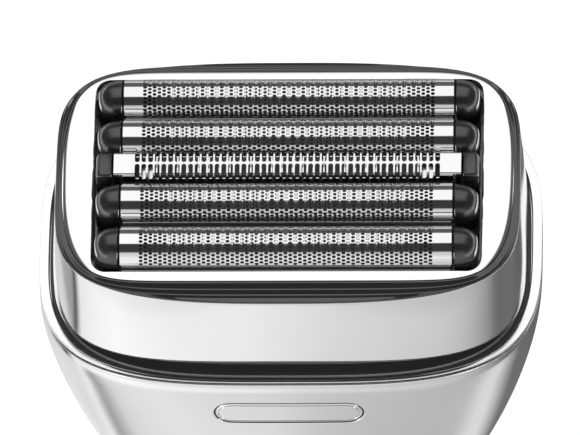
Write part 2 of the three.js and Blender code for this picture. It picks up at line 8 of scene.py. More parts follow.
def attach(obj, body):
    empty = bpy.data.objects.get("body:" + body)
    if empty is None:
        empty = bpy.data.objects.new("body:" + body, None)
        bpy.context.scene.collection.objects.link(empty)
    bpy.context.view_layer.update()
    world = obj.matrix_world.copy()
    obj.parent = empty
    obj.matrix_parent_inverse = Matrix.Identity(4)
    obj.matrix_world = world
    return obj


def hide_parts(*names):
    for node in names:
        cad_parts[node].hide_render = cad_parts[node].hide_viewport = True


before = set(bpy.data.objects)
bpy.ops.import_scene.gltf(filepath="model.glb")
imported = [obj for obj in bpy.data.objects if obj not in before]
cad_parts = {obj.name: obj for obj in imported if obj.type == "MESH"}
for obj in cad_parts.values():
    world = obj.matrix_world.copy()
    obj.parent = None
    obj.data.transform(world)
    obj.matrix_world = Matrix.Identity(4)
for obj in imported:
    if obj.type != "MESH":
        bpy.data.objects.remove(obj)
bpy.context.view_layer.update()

MM = 0.001
DEG = math.pi / 180

# ------------------------------------------------------------- dimensions

LIP_Z = 46.0
RIM_EDGE_Z = 60.65
OPENING_Z = 61.05
BEZEL_BOTTOM_Z = 60.35
SKIRT_Z = 47.45
COLLAR_DIP = 1.0
COLLAR_DEPTH = 1.6
FOIL_Z = 61.2
GAP = 0.3

# Plan outlines: half width, half depth, then two exponents or a corner radius.
BODY = (35.0, 25.35, 3.4, 3.4)
LIP = (33.9, 24.25, 3.4, 3.4)
RING_INSIDE = (33.55, 24.2, 3.4, 3.4)
RING_OUTSIDE = (34.96, 24.78, 3.4, 3.4)
SKIRT = (33.05, 22.6, 3.9, 3.9)
BEAD = (32.75, 22.38, 3.5, 3.5)
SHELL_MIDDLE = (32.65, 21.95, 3.6, 4.2)
COLLAR = (32.2, 21.1, 2.9, 4.9)
RIM = (31.25, 18.25, 10.0, 2.5)
OPENING = (26.9, 16.8, 2.1)
WELL = (27.1, 16.8, 4.5)

WIDEST_Z = 43.0
BASE_Z = 0.8
TAPER_LENGTH = 60.0
TAPER_POWER = 1.3
SHOULDER_DROP = (0.03, 0.4)  # to the sides, and to the front and back
WALL = 1.8
SHOULDER_Z = 44.4
SHOULDER_RISE = 1.4
RING_HEIGHT = 0.5
SEAL_SEAT_Z = 45.2
RING_SEAM = 0.07
BASE_OPENING = (18.0, 12.2, 3.0, 3.0)
LEDGE = (14.4, 8.8, 3.0, 3.0)

BUTTON_Z = 39.28
BUTTON_STRAIGHT = 7.8  # half length of the straight part
BUTTON_R = 2.43
SEAM = 0.2

ROW_YS = (12.75, 5.68, 0.0, -5.56, -13.1)
FOIL_R = 3.1
FOIL_T = 0.09
FOIL_HALF = 22.9
FOIL_BOTTOM_Z = 59.5
HOLE_PITCH_X = 0.666
HOLE_PITCH_S = 0.56
HOLE_COLUMNS = 61
HOLE_ROWS = 16
HOLE_HALF_X = 0.285
HOLE_HALF_S = 0.205

BLADE_PITCH = 1.245
BLADE_COUNT = 27
BLADE_T = 0.52
BLADE_SPREAD = 46  # degrees either side of the top
CORE_R = 2.45
BLADE_R = 2.93
BLADE_BORE_R = 1.9
BLADE_DROP = 0.15  # the blades' centre lies this far below the foil's
STEM = (-2.7, 2.7, -2.1, 2.1, 57.4, 60.7)
CARRIER_HALF = 18.6
FLAT_BLADE_PITCH = 1.447
FLAT_BLADE_COUNT = 28
FLAT_BLADE_T = 0.2

COMB_HALF_WIDTH = 1.95
COMB_TOP_Z = 63.75
COMB_HALF = 24.05
COMB_BOTTOM_Z = 59.9
COMB_T = 0.12
COMB_EDGE_R = 0.3
SLOT_PITCH = 0.924
SLOT_COUNT = 46
SLOT_HALF = 0.34
SPINE_HALF = 0.16
SLOT_DROP = 1.05

CAP_START = 23.2
CAP_END = 26.5
CAP_BOTTOM_Z = 58.7

WELL_FLOOR_X = 22.7  # the floors below the end caps start here
WELL_FLOOR_ZS = (56.05, 56.8)
BAR_BOTTOM_Z = 59.9
EDGE_ROUND = 0.12  # bevel of the pieces that keep their CAD shape

# How many points go round an outline.
OUTLINE_POINTS = 400
SEAL_POINTS = 320
RIM_POINTS = 640

# ------------------------------------------------------------ mesh helpers


def outside(outline, x, y):
    """Positive outside a plan outline, negative inside."""
    if len(outline) == 3:
        a, b, corner = outline
        qx = np.abs(x) - a + corner
        qy = np.abs(y) - b + corner
        away = np.hypot(np.maximum(qx, 0), np.maximum(qy, 0))
        return away + np.minimum(np.maximum(qx, qy), 0) - corner
    a, b, na, nb = outline
    return (np.abs(x) / a) ** na + (np.abs(y) / b) ** nb - 1


def blend(first, second, share):
    return tuple(p + (q - p) * share for p, q in zip(first, second))


def grow(outline, d):
    grown = [outline[0] + d, outline[1] + d, *outline[2:]]
    if len(outline) == 3:
        grown[2] += d
    return tuple(grown)


def crossing(outline, dx, dy):
    """Where rays from the centre meet an outline."""
    low = np.zeros_like(dx)
    high = np.full_like(dx, 80.0)
    for _ in range(44):
        middle = (low + high) / 2
        inside = outside(outline, middle * dx, middle * dy) < 0
        low = np.where(inside, middle, low)
        high = np.where(inside, high, middle)
    return low * dx, low * dy


def even_directions(outline, count):
    """Rays that meet an outline at points an even distance apart."""
    angles = np.linspace(0, 2 * math.pi, 8001)
    x, y = crossing(outline, np.cos(angles), np.sin(angles))
    steps = np.hypot(np.diff(x), np.diff(y))
    length = np.concatenate([[0], np.cumsum(steps)])
    even = np.interp(np.arange(count) * length[-1] / count, length, angles)
    return np.cos(even), np.sin(even)


def unit(x, y):
    length = np.hypot(x, y)
    return x / length, y / length


def level_points(level, rays):
    outline, height = level[0], level[1]
    x, y = crossing(outline, *rays)
    z = height(x, y) if callable(height) else np.full_like(x, height)
    return np.stack([x, y, z], axis=1)


def rounded_profile(levels, rays, closed, steps=4):
    """Rings of points through the levels, with each level's third number as its corner radius."""
    rings = [level_points(level, rays) for level in levels]
    last = len(rings) - 1
    result = []
    for i, ring in enumerate(rings):
        radius = levels[i][2] if len(levels[i]) > 2 else 0
        if not radius or (not closed and i in (0, last)):
            result.append(ring)
            continue
        ends = []
        for other in (rings[i - 1], rings[(i + 1) % len(rings)]):
            step = other - ring
            length = np.linalg.norm(step, axis=1, keepdims=True)
            ends.append(ring + step * np.minimum(radius / length, 0.45))
        for t in np.linspace(0, 1, steps + 1):
            result.append((1 - t) ** 2 * ends[0] + 2 * t * (1 - t) * ring + t * t * ends[1])
    return np.array(result)


def grid_faces(rows, columns, wrap_rows, wrap_columns):
    """Quads of a grid of points stored row by row."""
    faces = []
    for j in range(rows if wrap_rows else rows - 1):
        k = (j + 1) % rows
        for i in range(columns if wrap_columns else columns - 1):
            h = (i + 1) % columns
            faces.append((j * columns + i, j * columns + h, k * columns + h, k * columns + i))
    return faces


def make_object(name, points, faces, material, body, replaces=(), flat_angle=35):
    """A mesh piece in the row frame, shaded smooth below the given angle."""
    mesh = bpy.data.meshes.new(name)
    mesh.from_pydata((np.asarray(points) * MM).tolist(), [], faces)
    mesh.validate()
    mesh.materials.append(material)
    mesh.shade_smooth()
    mesh.set_sharp_from_angle(angle=flat_angle * DEG)
    piece = bpy.data.objects.new(name, mesh)
    bpy.context.scene.collection.objects.link(piece)
    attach(piece, body)
    if replaces:
        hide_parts(*replaces)
    return piece


def loft(levels, count, reference, closed=True, steps=4):
    """Points and faces of a skin through levels; an open one is capped at both ends."""
    rings = rounded_profile(levels, even_directions(reference, count), closed, steps)
    faces = grid_faces(len(rings), count, closed, True)
    if not closed:
        faces.append(tuple(reversed(range(count))))
        faces.append(tuple((len(rings) - 1) * count + i for i in range(count)))
    return rings.reshape(-1, 3), faces


def between(first, last, count):
    return [first + (last - first) * i / (count - 1) for i in range(count)]


# --------------------------------------------------------------- materials

CLOUD_SCALE = 60.0  # cycles per metre
GRAIN_SCALE = 2500.0
GRAIN_DEPTH = 0.02


def add_node(tree, kind, **inputs):
    node = tree.nodes.new(kind)
    for key, value in inputs.items():
        node.inputs[key.replace("_", " ")].default_value = value
    return node


def mapped_noise(tree, scale, stretch=(1, 1, 1)):
    """Noise in the object's own metres; scale is cycles per metre."""
    coords = tree.nodes.new("ShaderNodeTexCoord")
    mapping = add_node(tree, "ShaderNodeMapping", Scale=stretch)
    noise = add_node(tree, "ShaderNodeTexNoise", Scale=scale, Detail=3.0)
    tree.links.new(coords.outputs["Object"], mapping.inputs["Vector"])
    tree.links.new(mapping.outputs["Vector"], noise.inputs["Vector"])
    return noise.outputs["Fac"]


def math_node(tree, operation, *sources):
    """A math node fed by sockets, or by plain numbers where they are given."""
    node = tree.nodes.new("ShaderNodeMath")
    node.operation = operation
    for socket, source in zip(node.inputs, sources):
        if isinstance(source, (int, float)):
            socket.default_value = source
        else:
            tree.links.new(source, socket)
    return node


def step_node(tree, source, low, high):
    """Rises from 0 to 1 while the source goes from low to high."""
    node = add_node(tree, "ShaderNodeMapRange", From_Min=low, From_Max=high)
    tree.links.new(source, node.inputs["Value"])
    return node.outputs["Result"]


def grey_ramp(tree, source, stops):
    """Greys between the given positions; each stop is a position and a level."""
    ramp = tree.nodes.new("ShaderNodeValToRGB")
    elements = ramp.color_ramp.elements
    while len(elements) < len(stops):
        elements.new(0.5)
    for element, (position, level) in zip(elements, stops):
        element.position = position
        element.color = (*grey(level), 1)
    tree.links.new(source, ramp.inputs["Fac"])
    return ramp.outputs["Color"]


def mix_colours(tree, share, first, second):
    """A blend of two colours; each is a socket or a plain grey."""
    mix = tree.nodes.new("ShaderNodeMix")
    mix.data_type = "RGBA"
    tree.links.new(share, mix.inputs["Factor"])
    for socket, source in ((mix.inputs[6], first), (mix.inputs[7], second)):
        if isinstance(source, (int, float)):
            socket.default_value = (*grey(source), 1)
        else:
            tree.links.new(source, socket)
    return mix.outputs[2]


def surface(
    name,
    dark,
    light,
    metallic,
    rough,
    stretch=(1, 1, 1),
    bump=0.02,
    specular=0.5,
):
    """A finish whose tone and roughness vary slowly, with a fine grain on top."""
    material = bpy.data.materials.new(name)
    material.use_nodes = True
    tree = material.node_tree
    shader = tree.nodes["Principled BSDF"]
    shader.inputs["Metallic"].default_value = metallic
    shader.inputs["Specular IOR Level"].default_value = specular
    cloud = mapped_noise(tree, CLOUD_SCALE)
    grain = mapped_noise(tree, GRAIN_SCALE, stretch)
    tone = tree.nodes.new("ShaderNodeValToRGB")
    tone.color_ramp.elements[0].position = 0.3
    tone.color_ramp.elements[0].color = (*dark, 1)
    tone.color_ramp.elements[1].position = 0.7
    tone.color_ramp.elements[1].color = (*light, 1)
    tree.links.new(cloud, tone.inputs["Fac"])
    tree.links.new(tone.outputs["Color"], shader.inputs["Base Color"])
    spread = add_node(tree, "ShaderNodeMapRange", From_Min=0.25, From_Max=0.75)
    spread.inputs["To Min"].default_value = rough[0]
    spread.inputs["To Max"].default_value = rough[1]
    tree.links.new(grain, spread.inputs["Value"])
    tree.links.new(spread.outputs["Result"], shader.inputs["Roughness"])
    if bump:
        relief = add_node(tree, "ShaderNodeBump", Strength=bump, Distance=GRAIN_DEPTH * MM)
        tree.links.new(grain, relief.inputs["Height"])
        tree.links.new(relief.outputs["Normal"], shader.inputs["Normal"])
    return material


def grey(value):
    return (value, value, value)


def add_glow(material, strength):
    shader = material.node_tree.nodes["Principled BSDF"]
    shader.inputs["Emission Color"].default_value = (1, 1, 1, 1)
    shader.inputs["Emission Strength"].default_value = strength


SILVER = surface("silver_body", grey(0.71), grey(0.75), 1.0, (0.07, 0.11), bump=0.01)
POLISHED = surface("polished_trim", grey(0.90), grey(0.95), 1.0, (0.03, 0.06), bump=0.004)
FOIL_STEEL = surface("foil_steel", grey(0.78), grey(0.86), 1.0, (0.06, 0.1), stretch=(0.1, 1, 1))
CUTTER_STEEL = surface("cutter_steel", grey(0.76), grey(0.84), 1.0, (0.12, 0.22), stretch=(1, 0.2, 1))
BLACK_GLOSS = surface("black_gloss", grey(0.016), grey(0.024), 0.0, (0.05, 0.1), bump=0.01, specular=1.0)
BEAD_GLOSS = surface("bead_gloss", grey(0.2), grey(0.26), 0.0, (0.2, 0.3), bump=0.01, specular=1.0)
SATIN_BAR = surface("satin_bar", grey(0.5), grey(0.6), 0.3, (0.25, 0.35), bump=0.02)
# The seal cord's pale grey is a painted highlight of the seal's step.
SEAL_HIGHLIGHT = surface("seal_painted_highlight", grey(0.4), grey(0.5), 0.0, (0.2, 0.3), bump=0.01, specular=1.0)
BLACK_CAP = surface("black_cap", grey(0.018), grey(0.026), 0.0, (0.22, 0.3), bump=0.03, specular=1.0)
RUBBER = surface("neck_rubber", grey(0.055), grey(0.07), 0.0, (0.35, 0.5), bump=0.1)
BLACK_MATTE = surface("black_matte", grey(0.03), grey(0.045), 0.0, (0.4, 0.6), bump=0.15)
# A trace of glow keeps deep shade from going fully black.
for material, strength in ((RUBBER, 0.01), (BLACK_GLOSS, 0.006), (BLACK_MATTE, 0.01)):
    add_glow(material, strength)

# Where the caps' painted highlight, a glowing line, lies: upward share of the facing direction and its glow,
# then the sideways share.
PAINTED_HIGHLIGHT_LINE = [(0, 0), (0.2, 0), (0.25, 0.85), (0.3, 0.85), (0.37, 0)]
PAINTED_HIGHLIGHT_SIDEWAYS = (0.72, 0.84)


def add_painted_highlight_line(material):
    """A painted highlight: a glowing line where a cap's end turns down, found from the direction the surface
    faces.
    """
    tree = material.node_tree
    coords = tree.nodes.new("ShaderNodeTexCoord")
    split = tree.nodes.new("ShaderNodeSeparateXYZ")
    tree.links.new(coords.outputs["Normal"], split.inputs["Vector"])
    sideways = math_node(tree, "ABSOLUTE", split.outputs["X"]).outputs["Value"]
    shader = tree.nodes["Principled BSDF"]
    tree.links.new(grey_ramp(tree, split.outputs["Z"], PAINTED_HIGHLIGHT_LINE), shader.inputs["Emission Color"])
    tree.links.new(step_node(tree, sideways, *PAINTED_HIGHLIGHT_SIDEWAYS), shader.inputs["Emission Strength"])


# The caps' ends get a painted highlight line that glows.
add_painted_highlight_line(BLACK_CAP)
GREY_PLASTIC = surface("inner_plastic", grey(0.2), grey(0.26), 0.0, (0.4, 0.55), bump=0.1)
PLAIN_STEEL = surface("hardware_steel", grey(0.5), grey(0.62), 1.0, (0.2, 0.32), stretch=(1, 1, 0.1))
MAGNET = surface("magnet_nickel", grey(0.55), grey(0.66), 1.0, (0.15, 0.25))
COPPER = surface("copper_wire", (0.5, 0.2, 0.08), (0.66, 0.32, 0.14), 1.0, (0.25, 0.4))
CELL_WRAP = surface("cell_wrap", (0.03, 0.09, 0.2), (0.05, 0.13, 0.26), 0.0, (0.2, 0.35))
BOARD = surface("board_mask", (0.01, 0.08, 0.035), (0.02, 0.12, 0.05), 0.0, (0.25, 0.4))

# -------------------------------------------------------------------- body


def body_outline(z, inset=0.0):
    depth = max(WIDEST_Z - z, 0) / TAPER_LENGTH
    share = math.sqrt(1 - depth**TAPER_POWER)
    rise = max((z - WIDEST_Z) / (LIP_Z - WIDEST_Z), 0)
    side_drop, front_drop = SHOULDER_DROP[0] * rise**2 + inset, SHOULDER_DROP[1] * rise**5 + inset
    return (BODY[0] * share - side_drop, BODY[1] * share - front_drop, BODY[2], BODY[3])


def shoulder_z(share):
    """Heights from the top of the plain wall up to the joint under the trim ring."""
    return lambda x, y: SHOULDER_Z + (ring_seam_z(x, y) - RING_SEAM - SHOULDER_Z) * share


def ring_seam_z(x, y):
    """The joint under the trim ring rises towards the front and back."""
    return 45.1 + 0.75 * (np.abs(y) / BODY[1]) ** 3


def front_y(x, z):
    """The body's front face at a place seen from the front."""
    a, b, na, nb = body_outline(z)
    return -b * (1 - (abs(x) / a) ** na) ** (1 / nb)


# The part of the front wall that is remeshed round the button.
PATCH_HALF_X = 13.2
PATCH_HALF_Z = 4.4
PATCH_BACK_Y = -21.0


def pill_point(x, z, radius):
    """The point of the button's outline, at a radius from its straight middle, nearest to x, z."""
    middle_x = min(max(x, -BUTTON_STRAIGHT), BUTTON_STRAIGHT)
    dx, dz = x - middle_x, z - BUTTON_Z
    length = math.hypot(dx, dz)
    return middle_x + dx / length * radius, BUTTON_Z + dz / length * radius


def build_housing():
    zs = between(BASE_Z, 30, 36) + between(30.6, SHOULDER_Z, 27)
    levels = [(body_outline(BASE_Z), BASE_Z, 0.6)]
    levels += [(body_outline(z), z) for z in zs[2:]]
    levels += [(body_outline(SHOULDER_Z + SHOULDER_RISE * s), shoulder_z(s)) for s in (0.3, 0.55, 0.75, 0.9)]
    levels += [
        (body_outline(SHOULDER_Z + SHOULDER_RISE), shoulder_z(1), 0.03),
        (LIP, shoulder_z(1)),
        (LIP, SEAL_SEAT_Z - GAP),
        (body_outline(44.5, WALL), SEAL_SEAT_Z - GAP),
    ]
    levels += [(body_outline(z, WALL), z) for z in (37.5, 28, 19, 12, 6.6)]
    levels += [(LEDGE, 5.4), (LEDGE, 3.4), (BASE_OPENING, 3.4), (BASE_OPENING, BASE_Z, 0.2)]
    rays = even_directions(body_outline(BUTTON_Z), OUTLINE_POINTS)
    rings = rounded_profile(levels, rays, True)
    points = rings.reshape(-1, 3).tolist()
    count = len(rings)

    front = rings[:, :, 1] < 0
    near_x = np.abs(rings[:, :, 0]) < PATCH_HALF_X
    outer = np.arange(count)[:, None] < count // 2 + 24  # leaves out the inner wall's levels
    near_z = np.abs(rings[:, :, 2] - BUTTON_Z) < PATCH_HALF_Z
    on_outside = rings[:, :, 1] < PATCH_BACK_Y
    patch = front & near_x & near_z & outer & on_outside
    rows = np.where(patch.any(axis=1))[0]
    columns = np.where(patch[rows[0]])[0]
    j0, j1, i0, i1 = rows[0], rows[-1], columns[0], columns[-1]

    faces = []
    for j in range(count):
        low, high = j * OUTLINE_POINTS, (j + 1) % count * OUTLINE_POINTS
        for i in range(OUTLINE_POINTS):
            if j0 <= j < j1 and i0 <= i < i1:
                continue
            h = (i + 1) % OUTLINE_POINTS
            faces.append((low + i, low + h, high + h, high + i))

    loop = [j0 * OUTLINE_POINTS + i for i in range(i0, i1)]
    loop += [j * OUTLINE_POINTS + i1 for j in range(j0, j1)]
    loop += [j1 * OUTLINE_POINTS + i for i in range(i1, i0, -1)]
    loop += [j * OUTLINE_POINTS + i0 for j in range(j1, j0, -1)]
    edge_r = BUTTON_R + SEAM
    hole_rings = [  # how far from the boundary to the pill, radius, depth
        (0.3, edge_r + 0.16, 0),
        (0.6, edge_r + 0.16, 0),
        (0.85, edge_r + 0.16, 0),
        (1, edge_r + 0.16, 0),
        (1, edge_r + 0.1, 0.02),
        (1, edge_r + 0.04, 0.06),
        (1, edge_r, 0.13),
        (1, edge_r + 0.3, 0.17),
        (1, edge_r + 0.3, 1.6),
    ]
    previous = loop
    for share, radius, depth in hole_rings:
        current = []
        for index in loop:
            bx, _, bz = points[index]
            px, pz = pill_point(bx, bz, radius)
            x, z = bx + (px - bx) * share, bz + (pz - bz) * share
            current.append(len(points))
            points.append([x, front_y(x, z) + depth, z])
        for m in range(len(loop)):
            n = (m + 1) % len(loop)
            faces.append((previous[m], previous[n], current[n], current[m]))
        previous = current
    return drop_unused(points, faces)


def drop_unused(points, faces):
    used = sorted({i for face in faces for i in face})
    place = {old: new for new, old in enumerate(used)}
    return [points[i] for i in used], [tuple(place[i] for i in face) for face in faces]


points, faces = build_housing()
make_object("housing", points, faces, SILVER, "body", ["housing_shell"])


def build_button():
    """A pill whose face follows the body, with a rolled edge."""
    straight, turn = 33, 24  # steps along a straight side and round an end
    outline = []
    for side in (-1, 1):
        for x in between(side * BUTTON_STRAIGHT, -side * BUTTON_STRAIGHT, straight + 1)[:-1]:
            outline.append((x, float(side), 0.0))
        for i in range(turn):
            t = math.pi * i / turn
            outline.append((-side * BUTTON_STRAIGHT, side * math.cos(t), -side * math.sin(t)))
    rings = [  # radius, depth behind the body's face
        (BUTTON_R, 1.1),
        (BUTTON_R, 0.2),
        (BUTTON_R - 0.03, 0.13),
        (BUTTON_R - 0.1, 0.06),
        (BUTTON_R - 0.2, 0.02),
        (BUTTON_R - 0.3, 0.0),
        (BUTTON_R - 0.34, 0.02),
        (BUTTON_R - 0.4, 0.24),
        (BUTTON_R - 0.46, 0.24),
        (BUTTON_R - 0.52, 0.02),
        (BUTTON_R - 0.56, 0.0),
        (BUTTON_R - 0.9, 0.0),
        (0.7, 0.0),
        (0.25, 0.0),
    ]
    points = []
    for radius, depth in rings:
        for x, dz, dx in outline:
            px, pz = x + dx * radius, BUTTON_Z + dz * radius
            points.append([px, front_y(px, pz) + depth, pz])
    count = len(outline)
    faces = grid_faces(len(rings), count, False, True)
    first = (len(rings) - 1) * count
    back = 2 * straight + turn
    faces += [(first + k, first + k + 1, first + back - 1 - k, first + back - k) for k in range(straight)]
    faces.append(tuple(first + i for i in range(straight, straight + turn + 1)))
    faces.append(tuple(first + i % count for i in range(back, count + 1)))
    faces.append(tuple(reversed(range(count))))
    return points, faces


points, faces = build_button()
make_object("button_face", points, faces, SILVER, "button", ["power_button"], 60)


def pill_loop(radius, depth):
    loop = []
    for side in (1, -1):
        for t in between(-90, 90, 25):
            x = side * (BUTTON_STRAIGHT + radius * math.cos(t * DEG))
            z = BUTTON_Z + side * radius * math.sin(t * DEG)
            loop.append((x, front_y(x, z) + depth, z))
    return loop


# A dark frame behind the joint round the button.
loops = [(BUTTON_R + 0.04, 0.27), (BUTTON_R + 0.4, 0.27), (BUTTON_R + 0.4, 0.7), (BUTTON_R + 0.04, 0.7)]
points = [point for radius, depth in loops for point in pill_loop(radius, depth)]
faces = grid_faces(len(loops), len(points) // len(loops), True, True)
make_object("button_frame", points, faces, BLACK_MATTE, "body", ())

points, faces = loft(
    [
        (RING_INSIDE, LIP_Z - 0.16, 0.03),
        (grow(RING_INSIDE, 0.14), LIP_Z - 0.02, 0.05),
        (RING_OUTSIDE, LIP_Z - 0.02, 0.12),
        (RING_OUTSIDE, ring_seam_z, 0.03),
        (LIP, ring_seam_z),
        (RING_INSIDE, LIP_Z - RING_HEIGHT),
    ],
    OUTLINE_POINTS,
    LIP,
)
make_object("lip_ring", points, faces, POLISHED, "body", ["trim_ring"])

points, faces = loft(
    [
        (grow(RING_INSIDE, -0.1), SEAL_SEAT_Z),
        (grow(RING_INSIDE, -0.1), LIP_Z - 0.7),
        (grow(RING_INSIDE, -0.56), LIP_Z - 0.7, 0.05),
        (grow(RING_INSIDE, -0.6), LIP_Z - 0.5, 0.04),
        (grow(RING_INSIDE, -0.9), LIP_Z - 0.4, 0.05),
        (grow(RING_INSIDE, -1.2), LIP_Z - 0.62),
        (grow(LIP, -3.75), LIP_Z - 0.62, 0.15),
        (grow(LIP, -3.75), 50.0, 0.2),
        (grow(LIP, -4.5), 50.0, 0.2),
        (grow(LIP, -4.5), 43.4),
        (grow(LIP, -2.1), 43.4),
        (grow(LIP, -2.1), SEAL_SEAT_Z),
    ],
    SEAL_POINTS,
    LIP,
)
make_object("neck_gasket", points, faces, RUBBER, "body", ["neck_seal"])

# A fine satin cord lies along the seal's step; its pale grey is a painted highlight of the step's edge.
points, faces = loft(
    [
        (grow(RING_INSIDE, -0.62), LIP_Z - 0.53, 0.02),
        (grow(RING_INSIDE, -0.64), LIP_Z - 0.34, 0.06),
        (grow(RING_INSIDE, -0.88), LIP_Z - 0.22, 0.06),
        (grow(RING_INSIDE, -0.94), LIP_Z - 0.42, 0.02),
    ],
    SEAL_POINTS,
    LIP,
)
make_object("seal_cord", points, faces, SEAL_HIGHLIGHT, "body", ())

# -------------------------------------------------------------------- head


def collar_edge_z(x, y):
    return RIM_EDGE_Z - 0.35 - COLLAR_DIP * (np.abs(y) / COLLAR[1]) ** 4


def shell_top_z(x, y):
    return collar_edge_z(x, y) - 0.22


def shell_outline(share):
    """Outline of the head shell; share is 0 at its lower edge and 1 at its top."""
    weights = (
        (1 - share) * (1 - 2 * share),
        4 * share * (1 - share),
        share * (2 * share - 1),
    )
    parts = zip(SKIRT, SHELL_MIDDLE, COLLAR)
    return tuple(sum(w * v for w, v in zip(weights, part)) for part in parts)


def shell_height(share):
    low = SKIRT_Z + 0.1
    return lambda x, y: low + (shell_top_z(x, y) - low) * share


points, faces = loft(
    [
        (shell_outline(1.0), shell_height(1.0), 0.1),
        *[(shell_outline(s), shell_height(s)) for s in between(0.96, 0.04, 22)],
        (SKIRT, SKIRT_Z, 0.2),
        (grow(SKIRT, -1.3), SKIRT_Z, 0.2),
        ((31.1, 20.4, 4.2, 4.2), 54.4),
        ((31.1, 20.3, 4.2, 4.2), lambda x, y: shell_top_z(x, y) - COLLAR_DEPTH),
        (grow(COLLAR, -0.3), shell_top_z, 0.08),
    ],
    OUTLINE_POINTS,
    SKIRT,
)
make_object("head_cover", points, faces, SILVER, "head", ["head_shell"])

# A glossy bead hangs just inside the shell's lower edge.
points, faces = loft(
    [
        (grow(BEAD, 0.04), SKIRT_Z - 0.03),
        (BEAD, SKIRT_Z - 0.36, 0.1),
        (grow(BEAD, -0.33), SKIRT_Z - 0.36, 0.1),
        (grow(BEAD, -0.48), SKIRT_Z - 0.03),
    ],
    SEAL_POINTS,
    SKIRT,
)
make_object("skirt_bead", points, faces, BEAD_GLOSS, "head", ())

# Steps of the collar from the rim outwards: share of its width, share of its drop.
COLLAR_STEPS = [(0, 0), (0.08, 0.01), (0.34, 0.37), (0.4, 0.39), (0.59, 0.69), (0.66, 0.72), (0.76, 0.89)]
PLATE_FALL = 0.4  # at the front and sides
PLATE_FALL_LESS = 0.3  # how much less it falls at the back


def plate_z(x, y):
    """The rim plate is flat round the opening and falls towards its outer edge, less so at the back."""
    a, b, na, nb = RIM
    inside = 1 - ((np.abs(x) / a) ** na + (np.abs(y) / b) ** nb) ** (1 / 4)
    fall = PLATE_FALL - PLATE_FALL_LESS * np.clip((y + 4) / 18, 0, 1) ** 2
    return OPENING_Z - fall * np.exp(-np.maximum(inside, 0) / 0.03)


def collar_level(share, drop):
    outline = blend(grow(RIM, 0.12), COLLAR, share)

    def height(x, y):
        rays = unit(x, y)
        top = plate_z(*crossing(RIM, *rays)) - 0.05
        return top + (collar_edge_z(*crossing(COLLAR, *rays)) + 0.12 - top) * drop

    return (outline, height, 0.04)


points, faces = loft(
    [
        *[collar_level(share, drop) for share, drop in COLLAR_STEPS],
        (COLLAR, lambda x, y: collar_edge_z(x, y) + 0.12, 0.1),
        (grow(COLLAR, -0.12), collar_edge_z, 0.08),
        ((30.7, 19.8, 4.2, 4.2), lambda x, y: collar_edge_z(x, y) - COLLAR_DEPTH - 0.1),
        ((30.5, 19.6, 4.2, 4.2), 57.4),
        (grow(WELL, 0.65), 57.4),
        (grow(WELL, 0.65), 55.5),
        (WELL, 55.5),
        (WELL, BEZEL_BOTTOM_Z - GAP, 0.1),
        (grow(RIM, 0.12), BEZEL_BOTTOM_Z - GAP),
    ],
    OUTLINE_POINTS,
    COLLAR,
)
make_object("collar", points, faces, BLACK_GLOSS, "cassette", ["cassette_frame"])

rays = even_directions(OPENING, RIM_POINTS)
inner_x, inner_y = crossing(OPENING, *rays)
outer_x, outer_y = crossing(RIM, *rays)
rings = [np.stack([inner_x, inner_y, np.full(RIM_POINTS, BEZEL_BOTTOM_Z)], axis=1)]
for share in (0, 0.01, 0.03, 0.07, 0.2, 0.35, 0.5, 0.62, 0.74, 0.84, 0.92, 0.97, 1):
    x = inner_x + (outer_x - inner_x) * share
    y = inner_y + (outer_y - inner_y) * share
    rolled = 0.12 * max(0, 1 - share / 0.07) ** 2
    rings.append(np.stack([x, y, plate_z(x, y) - rolled], axis=1))
rings.append(np.stack([outer_x, outer_y, np.full(RIM_POINTS, BEZEL_BOTTOM_Z)], axis=1))
points = np.array(rings).reshape(-1, 3)
faces = grid_faces(len(rings), RIM_POINTS, True, True)
make_object("rim_plate", points, faces, POLISHED, "cassette", ["bezel"])

# Floors at both ends of the well, below the end caps.
for side, label in ((-1, "left"), (1, "right")):
    rays = even_directions(grow(WELL, 0.3), 240)
    x, y = crossing(grow(WELL, 0.3), *rays)
    keep = side * x > WELL_FLOOR_X
    curve = sorted(zip(y[keep], x[keep]))
    start = WELL_FLOOR_X * side
    border = [(start, curve[0][0]), *[(px, py) for py, px in curve], (start, curve[-1][0])]
    if side < 0:
        border.reverse()
    count = len(border)
    points = [(px, py, z) for z in WELL_FLOOR_ZS for px, py in border]
    faces = grid_faces(2, count, False, True)
    faces += [tuple(reversed(range(count))), tuple(range(count, 2 * count))]
    make_object(f"well_floor_{label}", points, faces, BLACK_GLOSS, "cassette", ())

# Satin bars in the gaps along the foils: y of each side and top height.
BARS = [(-16.75, -16.42, 60.75), (16.15, 16.55, 60.8), (9.06, 9.4, 60.9), (-9.49, -9.12, 60.9)]
for index, (y0, y1, top) in enumerate(BARS):
    corners = [(y0, BAR_BOTTOM_Z), (y1, BAR_BOTTOM_Z), (y1, top), (y0, top)]
    points = [(x, y, z) for x in (-WELL_FLOOR_X, WELL_FLOOR_X) for y, z in corners]
    faces = [*grid_faces(2, 4, False, True), (3, 2, 1, 0), (4, 5, 6, 7)]
    make_object(f"gap_bar_{index + 1}", points, faces, SATIN_BAR, "cassette", ())

# ------------------------------------------------------------------- foils


